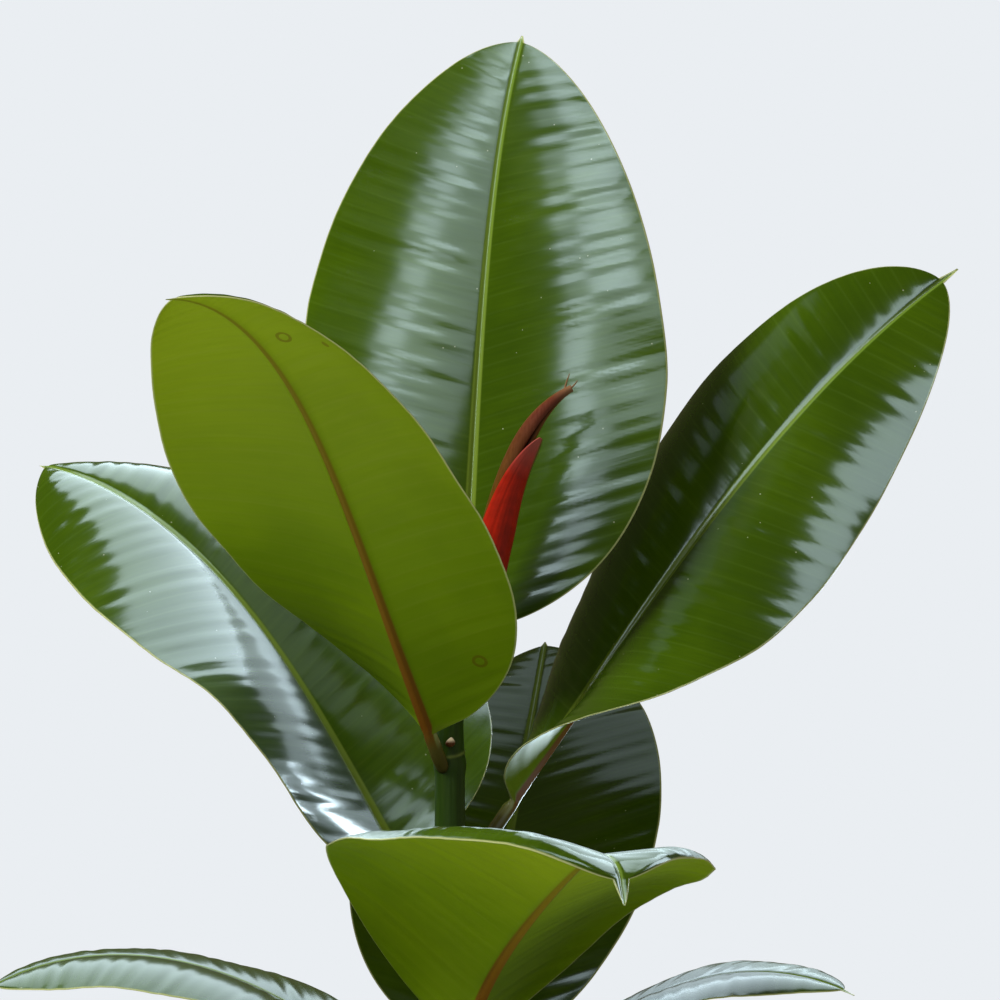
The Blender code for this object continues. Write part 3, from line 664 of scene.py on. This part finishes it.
def stem_material(colours):
    """A young stem: green skin with a dull shine above, turning to brown cork near the soil."""
    material, tree, shader = start_material("green_stem_skin", Roughness=0.42, IOR=1.45)
    height, scar = (add(tree, "ShaderNodeAttribute", "Fac", attribute_name=name)
                    for name in ("height_mm", "scar"))
    cloud = grain(tree, 90.0, 3.0)
    # Fibres about 1 mm wide that run up the stem.
    fibres = grain(tree, (900, 900, 60), 3.0)
    skin = lay_coats(tree, colours.stem, [(fibres, "#22400c")])
    level = add(tree, "ShaderNodeMath", 0, {0: cloud, 1: 70.0, 2: height},
                operation="MULTIPLY_ADD")
    marked = add(tree, "ShaderNodeMath", 0, {0: scar, 1: 0.7},
                 operation="MULTIPLY", use_clamp=True)
    colour = lay_coats(tree, "#5a4a34", [
        (cloud, "#8a7a5e"), ((level, 70.0, 150.0), skin), (marked, "#7c8a3e")])
    finish_surface(tree, shader, colour, fibres, 0.35, 0.0003)
    return material


class PLANT_OT_stem(bpy.types.Operator):
    """Build the stem with its swellings and ring scars"""

    bl_idname = "plant.stem"
    bl_label = "Stem"

    def execute(self, context):
        mesh = grid_mesh("stem_surface", *stem_surface())
        material = stem_material(context.scene.plant_colours)
        place_piece("stem_surface", mesh, (material,), ("stem",))
        return {"FINISHED"}


def roll_frame(share):
    """Centre, sideways direction and radius of the rolled leaf.

    Its axis leans over by a Bezier blend of five angles; the directions are summed up.
    """
    lean = np.radians(blend(ROLL_LEAN, np.linspace(0, 1, PATH_STEPS + 1)))
    steps = np.stack([np.sin(lean), 0 * lean, np.cos(lean)], -1)[1:] * ROLL_LENGTH / PATH_STEPS
    centre = walk(np.array([STEM_LEAN, 0.0, SOIL_TOP + STEM_HEIGHT]), steps, share)
    angle = np.radians(blend(ROLL_LEAN, share))
    side = np.stack([np.cos(angle), 0 * angle, -np.sin(angle)], -1)
    return centre, side, np.interp(share, ROLL_PLACES, ROLL_RADII)


def evened(values, count):
    """Running mean over a count of neighbours, which rounds off the bends of a profile."""
    padded = np.pad(values, count // 2, mode="edge")
    return np.convolve(padded, np.ones(count) / count, mode="valid")


def roll_surface():
    """The rolled leaf as rings: a scroll whose outer margin lies over the inner turn.

    The radius grows by a tenth once around from the seam, which winds up the roll. A groove
    runs beside the seam, deepest above the middle, where the scroll starts to open.
    """
    share = np.linspace(0, 1, 260)
    centre, side, radius = roll_frame(share)
    angle = np.linspace(0, 2 * pi, 140, endpoint=False)
    seam = np.radians(np.interp(share, (0, 0.5, 1), (215, 262, 345)))[:, None]
    turn = ((angle - seam) / (2 * pi)) % 1.0
    groove = np.exp(-(np.minimum(turn, 1 - turn) / 0.022) ** 2)
    depth = np.interp(share, (0, 0.4, 0.62, 0.85, 1), (0.06, 0.12, 0.42, 0.34, 0.2))[:, None]
    size = evened(radius, 25)[:, None] * (1 + 0.10 * (0.5 - turn) - depth * groove)
    # The groove note is the mask of the painted shade in the crease.
    notes = {"turn": turn, "groove": groove * depth * 2.4,
             "along": np.repeat(share[:, None], len(angle), 1)}
    return rings_about(centre, side, size, angle), notes


def thread_surface(reach, lift, bend, depth):
    """One dry thread at the tip: a tapered tube along a short arc, bent to its own side."""
    centre = roll_frame(np.array([0.97]))[0]
    share = np.linspace(0, 1, 24)
    line = centre[0] + np.stack(
        [reach * share + bend * share * (1 - share), depth * share, lift * share], -1)
    angle = np.linspace(0, 2 * pi, 10, endpoint=False)
    radius = (0.00055 * (1 - 0.75 * share))[:, None]
    return rings_about(line, np.array([1.0, 0, -0.6]) / 1.166, radius, angle)


def young_leaf_material():
    """A young leaf still rolled: soft brown and olive, thin and slightly waxed, not yet green."""
    material, tree, shader = start_material(
        "young_leaf_skin", Roughness=0.5, IOR=1.45, Specular_IOR_Level=0.15)
    along, turn, groove = (add(tree, "ShaderNodeAttribute", "Fac", attribute_name=name)
                           for name in ("along", "turn", "groove"))
    fibres = grain(tree, (1100, 1100, 110), 3.0)
    brown = lay_coats(tree, "#4f1f12", [(fibres, "#75402f")])
    # The near-black in the groove beside the seam is painted shade in the crease.
    colour = lay_coats(tree, "#4a3408", [
        (fibres, "#6b4a14"), ((along, 0.55, 0.85), brown),
        ((turn, 0.72, 0.60, 0.0, 0.7), "#6f4a1c"), (groove, "#260604"),
        ((along, 0.93, 1.0, 0.0, 0.8), "#8a6a4c")])
    finish_surface(tree, shader, colour, fibres, 0.4, 0.0004)
    return material


class PLANT_OT_young_leaf(bpy.types.Operator):
    """Build the rolled young leaf at the stem's tip with its two dry threads"""

    bl_idname = "plant.young_leaf"
    bl_label = "Young leaf"

    def execute(self, context):
        material = young_leaf_material()
        mesh = grid_mesh("young_leaf_roll", *roll_surface())
        place_piece("young_leaf_roll", mesh, (material,), ("rolled_leaf",))
        for number, shape in enumerate(THREADS, 1):
            thread = grid_mesh(f"dry_thread_{number}", thread_surface(*shape))
            store(thread, "along", np.ones(len(thread.vertices)))
            place_piece(f"dry_thread_{number}", thread, (material,))
        return {"FINISHED"}


def sheath_surface():
    """The sheath as rings: an arc outside and an arc inside around the roll, closed at its edges.

    The arc's half spread falls from 118 degrees towards 6 by a power curve, and its distance
    from the roll grows with the cube of the way to the tip. Its skin has faint lengthwise folds.
    """
    share = np.linspace(0.04, 1, 200)
    centre, side, radius = roll_frame(share * SHEATH_LENGTH / ROLL_LENGTH)
    spread = np.radians(118 * (1 - share ** 2.4) ** 0.8 + 6)[:, None]
    across = np.linspace(-1, 1, 61)
    inner = (evened(radius, 17) * 1.03 + 0.0003 + 0.0030 * share ** 3)[:, None] + 0 * across
    edge = np.clip((1 - np.abs(across)) / 0.06, 0.25, 1) ** 0.5
    skin = (0.0009 * (1 - 0.5 * share))[:, None] * edge
    folds = 0.00012 * waves(across * 100, (21, 13, 34), 8) * np.sin(pi * share)[:, None]
    angle = radians(318) + spread * across
    bearing = np.concatenate([angle, angle[:, ::-1]], axis=1)
    size = np.concatenate([inner + skin + folds, inner], axis=1)
    around = np.concatenate([across, across[::-1]])
    notes = {"across": np.tile(around, (len(share), 1)),
             "along": np.repeat(share[:, None], len(around), 1)}
    return rings_about(centre, side, size, bearing), notes


def sheath_material(colours):
    """The sheath's skin: thin, bright red and softly waxed, a little pink where it dries."""
    material, tree, shader = start_material(
        "red_sheath_skin", Roughness=0.42, IOR=1.45, Specular_IOR_Level=0.2)
    cloud = grain(tree, 260.0, 3.0)
    along, across = (add(tree, "ShaderNodeAttribute", "Fac", attribute_name=name)
                     for name in ("along", "across"))
    colour = lay_coats(tree, colours.sheath, [
        (cloud, "#7c1c0c"), ((along, 0.8, 0.98, 0.0, 0.7), "#a86058"),
        ((across, 0.30, 0.55, 0.0, 0.85), "#5f5a22")])
    finish_surface(tree, shader, colour, cloud, 0.3, 0.0004)
    return material


class PLANT_OT_sheath(bpy.types.Operator):
    """Build the red sheath that is peeling off the rolled leaf"""

    bl_idname = "plant.sheath"
    bl_label = "Red sheath"

    def execute(self, context):
        mesh = grid_mesh("red_sheath_skin", *sheath_surface())
        material = sheath_material(context.scene.plant_colours)
        place_piece("red_sheath_skin", mesh, (material,), ("red_sheath",))
        return {"FINISHED"}


def bud_surface(place):
    """A pointed bud: rings along an upward axis, the radius a sine that is drawn out at the tip."""
    share = np.linspace(0, 1, 40)[:, None]
    angle = np.linspace(0, 2 * pi, 32, endpoint=False)
    radius = 0.0019 * np.sin(pi * share ** 0.75) ** 0.8 + 0.00004
    line = np.array(place) + (share - 0.5) * np.array([0.0006, -0.0010, 0.0040])
    notes = {"along": np.repeat(share, len(angle), 1)}
    return rings_about(line, (1.0, 0.0, 0.0), radius, angle), notes


def bud_material():
    """Papery bud scales: orange-brown with a cream tip."""
    material, tree, shader = start_material("bud_scales", Roughness=0.5)
    along = add(tree, "ShaderNodeAttribute", "Fac", attribute_name="along")
    finish_surface(tree, shader, lay_coats(tree, "#6a3510", [((along, 0.45, 0.75), "#e8d8b8")]))
    return material


class PLANT_OT_bud(bpy.types.Operator):
    """Build the small bud between the stem and a petiole"""

    bl_idname = "plant.bud"
    bl_label = "Bud"

    def execute(self, context):
        low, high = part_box("axil_bud")
        place = [(near + far) / 2 for near, far in zip(low, high)]
        mesh = grid_mesh("bud_surface", *bud_surface(place))
        place_piece("bud_surface", mesh, (bud_material(),), ("axil_bud",))
        return {"FINISHED"}


# ------------------------------------------------------------------ soil and pot
def soil_level(x, y):
    """Height of the soil: a low mound towards the stem with a seeded sum of plane waves on it."""
    out = np.hypot(x, y)
    level = SOIL_TOP + 0.004 * (1 - smooth_step(0.015, 0.075, out))
    rng = np.random.default_rng(11)
    for length, height in ((0.030, 0.0007), (0.014, 0.0006), (0.007, 0.0005), (0.004, 0.0004)):
        for turn in rng.uniform(0, 2 * pi, 3):
            run = x * cos(turn) + y * sin(turn)
            level = level + height / 2 * np.sin(2 * pi * run / length + rng.uniform(0, 6))
    return level


def soil_surface():
    """The soil as rings: up the pot's wall, over the uneven mound and down the stem's socket."""
    angle = np.linspace(0, 2 * pi, 300, endpoint=False)
    wall = np.linspace(0, 1, 12)
    inwards = np.linspace(1, 0, 130)[1:]
    radius = np.concatenate([SOIL_FOOT_RADIUS + (SOIL_TOP_RADIUS - SOIL_FOOT_RADIUS) * wall,
                             SOCKET_RADIUS + (SOIL_TOP_RADIUS - SOCKET_RADIUS) * inwards,
                             [SOCKET_RADIUS, SOCKET_RADIUS]])
    height = np.concatenate([SOIL_FOOT + (SOIL_TOP - SOIL_FOOT) * wall,
                             np.full(len(inwards), np.nan), SOCKET_LEVELS])
    x, y = radius[:, None] * np.cos(angle), radius[:, None] * np.sin(angle)
    level = np.where(np.isnan(height)[:, None], soil_level(x, y), height[:, None])
    return np.stack([x, y, level], -1)


def granule_cloud(count):
    """Chips and grains on the soil: lumpy little shells, squashed, turned and strewn by seed."""
    rng = np.random.default_rng(5)
    rise = np.radians([-60, -15, 25, 65])[:, None]
    turn = np.linspace(0, 2 * pi, 7, endpoint=False)
    shell = np.stack([np.cos(rise) * np.cos(turn), np.cos(rise) * np.sin(turn),
                      np.sin(rise) + 0 * turn], -1)
    shells = shell[None] * rng.uniform(0.75, 1.25, (count, 4, 7, 1))
    size = rng.uniform(0.0010, 0.0030, (count, 1, 1, 1)) * rng.uniform(0.5, 1.0, (count, 1, 1, 3))
    yaw, tilt = rng.uniform(0, 2 * pi, count), rng.uniform(-0.6, 0.6, count)
    zero, one = np.zeros(count), np.ones(count)
    around = np.array([[np.cos(yaw), -np.sin(yaw), zero], [np.sin(yaw), np.cos(yaw), zero],
                       [zero, zero, one]]).transpose(2, 0, 1)
    over = np.array([[one, zero, zero], [zero, np.cos(tilt), -np.sin(tilt)],
                     [zero, np.sin(tilt), np.cos(tilt)]]).transpose(2, 0, 1)
    turned = np.einsum("nij,nrcj->nrci", around @ over, shells * size)
    out = 0.012 + 0.062 * rng.uniform(0, 1, count) ** 0.5
    bearing = rng.uniform(0, 2 * pi, count)
    x, y = out * np.cos(bearing), out * np.sin(bearing)
    place = np.stack([x, y, soil_level(x, y) + 0.0002], -1)
    return turned + place[:, None, None], rng.uniform(0, 1, count)


def many_shells(name, shells):
    """One mesh of many like closed shells: the faces of one, repeated with an offset."""
    count, rows, columns = shells.shape[:3]
    here, _, quads = ring_quads(rows, columns)
    ends = np.stack([here[0][::-1], here[-1]])
    faces = []
    for first in np.arange(count) * rows * columns:
        faces += (quads + first).tolist() + (ends + first).tolist()
    mesh = bpy.data.meshes.new(name)
    mesh.from_pydata(shells.reshape(-1, 3).tolist(), [], faces)
    mesh.update()
    return mesh


def soil_material():
    """Peat-based potting soil: dark, matt and crumbly."""
    material, tree, shader = start_material("potting_soil_peat", Roughness=0.95, IOR=1.4)
    crumbs = grain(tree, 700.0, 6.0)
    colour = lay_coats(tree, "#1d130c", [(crumbs, "#4d3826")])
    finish_surface(tree, shader, colour, crumbs, 1.0, 0.0012)
    return material


def granule_material():
    """Bark chips and a few white grains of perlite, told apart by a number of each grain."""
    material, tree, shader = start_material("bark_and_perlite", Roughness=0.9, IOR=1.4)
    tone = add(tree, "ShaderNodeAttribute", "Fac", attribute_name="tone")
    white = add(tree, "ShaderNodeMath", 0, {0: tone, 1: 0.9}, operation="GREATER_THAN")
    finish_surface(tree, shader, lay_coats(tree, "#241710", [
        (tone, "#6b4a30"), (grain(tree, 900.0, 4.0), "#38261a"), (white, "#cfcabd")]))
    return material


class PLANT_OT_soil(bpy.types.Operator):
    """Build the potting soil and the chips and grains on it"""

    bl_idname = "plant.soil"
    bl_label = "Potting soil"

    def execute(self, context):
        mesh = grid_mesh("soil_surface", soil_surface(), joined_ends=True)
        place_piece("soil_surface", mesh, (soil_material(),), ("potting_soil",))
        shells, tone = granule_cloud(GRANULES)
        grains = many_shells("soil_granules", shells)
        store(grains, "tone", np.repeat(tone, shells.shape[1] * shells.shape[2]))
        place_piece("soil_granules", grains, (granule_material(),))
        return {"FINISHED"}


def clay_material(colours):
    """Fired unglazed clay: matt and porous, with a faint lime bloom and throwing lines."""
    material, tree, shader = start_material("unglazed_terracotta", Roughness=0.85, IOR=1.5)
    cloud, pores = grain(tree, 22.0, 5.0), grain(tree, 650.0, 4.0)
    lines = grain(tree, (3, 3, 420), 2.0)
    colour = lay_coats(tree, colours.clay, [
        (cloud, "#a05c3e"), ((cloud, 0.58, 0.75, 0.0, 0.35), "#d8bca6"),
        ((pores, 0.35, 0.42, 0.3, 0.0), "#7c4630")])
    relief = add(tree, "ShaderNodeMath", 0, {0: lines, 1: 0.6, 2: pores},
                 operation="MULTIPLY_ADD")
    finish_surface(tree, shader, colour, relief, 0.35, 0.0005)
    return material


class PLANT_OT_pot(bpy.types.Operator):
    """Give the carried pot its fired clay"""

    bl_idname = "plant.pot"
    bl_label = "Pot"

    def execute(self, context):
        material = clay_material(context.scene.plant_colours)
        for slot in bpy.data.objects["pot"].material_slots:
            slot.material = material
        return {"FINISHED"}


# ------------------------------------------------------------------ stage
# The camera's distance from the stem, and the width that it sees there.
CAMERA_DISTANCE = 1.8
VIEW_WIDTH = 0.39
# Where the lights point, and the tint of all but the key light.
LEAVES_MIDDLE = (0.0, 0.0, 0.5)
COOL_DAYLIGHT = (0.72, 0.90, 1.0)
# Each window: bearing to the camera's right and rise in degrees, distance, width and height,
# power, and the leaves that mirror it.
LOW_LEAVES = tuple(name for name in LEAVES if name.startswith("leaf_low"))
WINDOWS = {
    "front_window": (-11, 38, 2.4, (1.85, 1.0), 21, ("leaf_top", "leaf_left")),
    "upper_front_window": (-15, 52, 2.4, (0.8, 1.0), 20, ("leaf_top",)),
    "right_window": (28, 12, 2.4, (1.7, 1.8), 68, ("leaf_right",)),
    "tip_window": (-20, 20, 2.4, (0.5, 0.4), 4, ("leaf_top",)),
    "high_left_window": (-98, 54, 2.4, (1.4, 0.7), 1.6, ("leaf_right",)),
    "table_card": (155, -28, 0.8, (0.5, 0.4), 10, ("leaf_right",)),
    "side_window": (115, 13, 2.4, (0.5, 0.5), 40, ("leaf_left",)),
    "low_side_window": (138, 26, 2.4, (2.0, 0.9), 12, ("leaf_left",)),
    "left_front_window": (-44, 50, 2.4, (1.6, 1.0), 26, ("leaf_left",)),
    "table_window": (168, 12, 2.4, (2.2, 0.9), 7, ("leaf_front", "leaf_low_right")),
    "far_side_window": (118, 56, 2.4, (2.0, 1.8), 80, ("leaf_front",)),
    "right_side_window": (94, 17, 2.4, (1.4, 1.4), 70, ("leaf_front",)),
    "low_front_window": (-2, 22, 2.4, (1.6, 1.0), 40, ("leaf_front",)),
    "shade_window": (-166, 64, 2.4, (1.2, 1.2), 4, ("leaf_back",)),
    "back_window": (145, 62, 2.6, (3.6, 2.7), 210, ("leaf_left",)),
    "low_back_window": (186, 38, 2.6, (4.2, 2.0), 75, ("leaf_front", *LOW_LEAVES)),
    "dim_window": (66, 46, 2.6, (2.0, 1.2), 6, ("leaf_left",)),
}


class PLANT_OT_stage(bpy.types.Operator):
    """Set the pale floor, the soft studio lights and the camera"""

    bl_idname = "plant.stage"
    bl_label = "Stage"

    def execute(self, context):
        lay_floor(context)
        aim_camera(context)
        hang_windows(context)
        hang_lamps(context)
        light_room(context)
        context.scene.view_settings.view_transform = "Standard"
        return {"FINISHED"}


def lay_floor(context):
    """A round pale floor that fades out towards its edge."""
    angle = np.linspace(0, 2 * pi, 96, endpoint=False)
    ring = np.stack([2.6 * np.cos(angle), 2.6 * np.sin(angle), 0 * angle - 0.0005], -1)
    mesh = bpy.data.meshes.new("floor")
    mesh.from_pydata(ring.tolist(), [], [list(range(len(ring)))])
    mesh.update()
    # A matt painted board, so that only a soft shadow shows on it.
    material, tree, shader = start_material(
        "matt_pale_board", Roughness=0.9, Base_Color=paint("#e4e8ec"))
    place = add(tree, "ShaderNodeTexCoord", "Object")
    out = add(tree, "ShaderNodeVectorMath", "Value", {0: place}, operation="LENGTH")
    fade = add(tree, "ShaderNodeMapRange", 0, {0: out, 1: 0.7, 2: 2.4, 3: 1.0, 4: 0.0},
               interpolation_type="SMOOTHSTEP")
    tree.links.new(fade, shader.inputs["Alpha"])
    mesh.materials.append(material)
    floor = bpy.data.objects.new("floor", mesh)
    floor.visible_glossy = False
    context.collection.objects.link(floor)


def aim_camera(context):
    """A long lens level with the leaves, 1.8 m in front of the stem."""
    camera = bpy.data.cameras.new("camera")
    camera.sensor_width = 36
    camera.lens = camera.sensor_width * CAMERA_DISTANCE / VIEW_WIDTH
    item = bpy.data.objects.new("camera", camera)
    item.location = (0.0195, -CAMERA_DISTANCE, 0.515)
    item.rotation_euler = (pi / 2, 0, 0)
    context.collection.objects.link(item)
    context.scene.camera = item


def softbox(context, name, bearing, rise, distance, size, power, colour=COOL_DAYLIGHT):
    """A rectangular light that faces the plant: bearing in degrees to the camera's right."""
    light = bpy.data.lights.new(name, "AREA")
    light.shape = "RECTANGLE"
    light.size, light.size_y = size
    light.energy = power
    light.color = colour
    item = bpy.data.objects.new(name, light)
    turn, lift = radians(bearing), radians(rise)
    away = Vector((sin(turn) * cos(lift), -cos(turn) * cos(lift), sin(lift)))
    item.location = Vector(LEAVES_MIDDLE) + away * distance
    item.rotation_euler = (-away).to_track_quat("-Z", "Y").to_euler()
    item.visible_camera = False
    context.collection.objects.link(item)
    return item


def hang_windows(context):
    """Windows around the plant for the wax to mirror, each for a few leaves alone.

    Cards and flags in a studio keep a window off the other leaves in the same way. The folded
    left leaf mirrors its windows with no leaf in between.
    """
    open_view = bpy.data.collections.new("open_view")
    open_view.objects.link(bpy.data.objects["pot"])
    for name, (bearing, rise, distance, size, power, nodes) in WINDOWS.items():
        window = softbox(context, name, bearing, rise, distance, size, power)
        window.visible_diffuse = False
        mirrored_by = bpy.data.collections.new(name + "_leaves")
        for node in nodes:
            mirrored_by.objects.link(bpy.data.objects[node + "_surface"])
        alone = nodes == ("leaf_left",)
        window.light_linking.receiver_collection = mirrored_by
        window.light_linking.blocker_collection = open_view if alone else mirrored_by


def hang_lamps(context):
    """A soft key light from the left, and a small light whose glint the leaves share."""
    key = softbox(context, "key_light", -60, 46, 2.6, (1.0, 1.0), 78, (1.0, 0.99, 0.95))
    key.visible_glossy = False
    # A flag keeps the key light off the back leaf, which stands in the shade of the others.
    flagged = bpy.data.collections.new("key_light_flag")
    flagged.objects.link(bpy.data.objects["leaf_back_surface"])
    flagged.collection_objects[0].light_linking.link_state = "EXCLUDE"
    key.light_linking.receiver_collection = flagged
    glint = softbox(context, "small_front_light", -30, 30, 2.4, (0.5, 0.5), 5)
    glint.visible_diffuse = False


def light_room(context):
    """The room's own light: a pale backdrop to look at, warm and dim on the leaves."""
    world = context.scene.world or bpy.data.worlds.new("studio")
    context.scene.world = world
    world.use_nodes = True
    tree = world.node_tree
    tree.nodes.clear()
    seen, room, gleam = (
        add(tree, "ShaderNodeBackground", 0, {"Color": paint(code), "Strength": strength})
        for code, strength in (("#eaeef2", 1.0), ("#fff6e4", 0.34), ("#e6e2a0", 0.10)))
    glossy = add(tree, "ShaderNodeLightPath", "Is Glossy Ray")
    light = add(tree, "ShaderNodeMixShader", 0, {0: glossy, 1: room, 2: gleam})
    both = add(tree, "ShaderNodeMixShader", 0,
               {0: glossy.node.outputs["Is Camera Ray"], 1: light, 2: seen})
    add(tree, "ShaderNodeOutputWorld", 0, {"Surface": both})


class PLANT_PT_panel(bpy.types.Panel):
    """Lists the steps that build the plant"""

    bl_idname = "PLANT_PT_panel"
    bl_label = "Rubber plant"
    bl_space_type = "VIEW_3D"
    bl_region_type = "UI"
    bl_category = "Rubber plant"

    def draw(self, context):
        for step in STEPS:
            self.layout.operator(step.bl_idname)


STEPS = (PLANT_OT_leaves, PLANT_OT_stem, PLANT_OT_young_leaf, PLANT_OT_sheath, PLANT_OT_bud,
         PLANT_OT_soil, PLANT_OT_pot, PLANT_OT_stage)
CLASSES = (PlantSizes, PlantColours, *STEPS, PLANT_PT_panel)


def register():
    for item in CLASSES:
        bpy.utils.register_class(item)
    bpy.types.Scene.plant_sizes = bpy.props.PointerProperty(type=PlantSizes)
    bpy.types.Scene.plant_colours = bpy.props.PointerProperty(type=PlantColours)


def unregister():
    del bpy.types.Scene.plant_colours
    del bpy.types.Scene.plant_sizes
    for item in reversed(CLASSES):
        bpy.utils.unregister_class(item)


def main():
    register()
    bpy.ops.plant.leaves()
    bpy.ops.plant.stem()
    bpy.ops.plant.young_leaf()
    bpy.ops.plant.sheath()
    bpy.ops.plant.bud()
    bpy.ops.plant.soil()
    bpy.ops.plant.pot()
    bpy.ops.plant.stage()


if __name__ == "__main__":
    main()
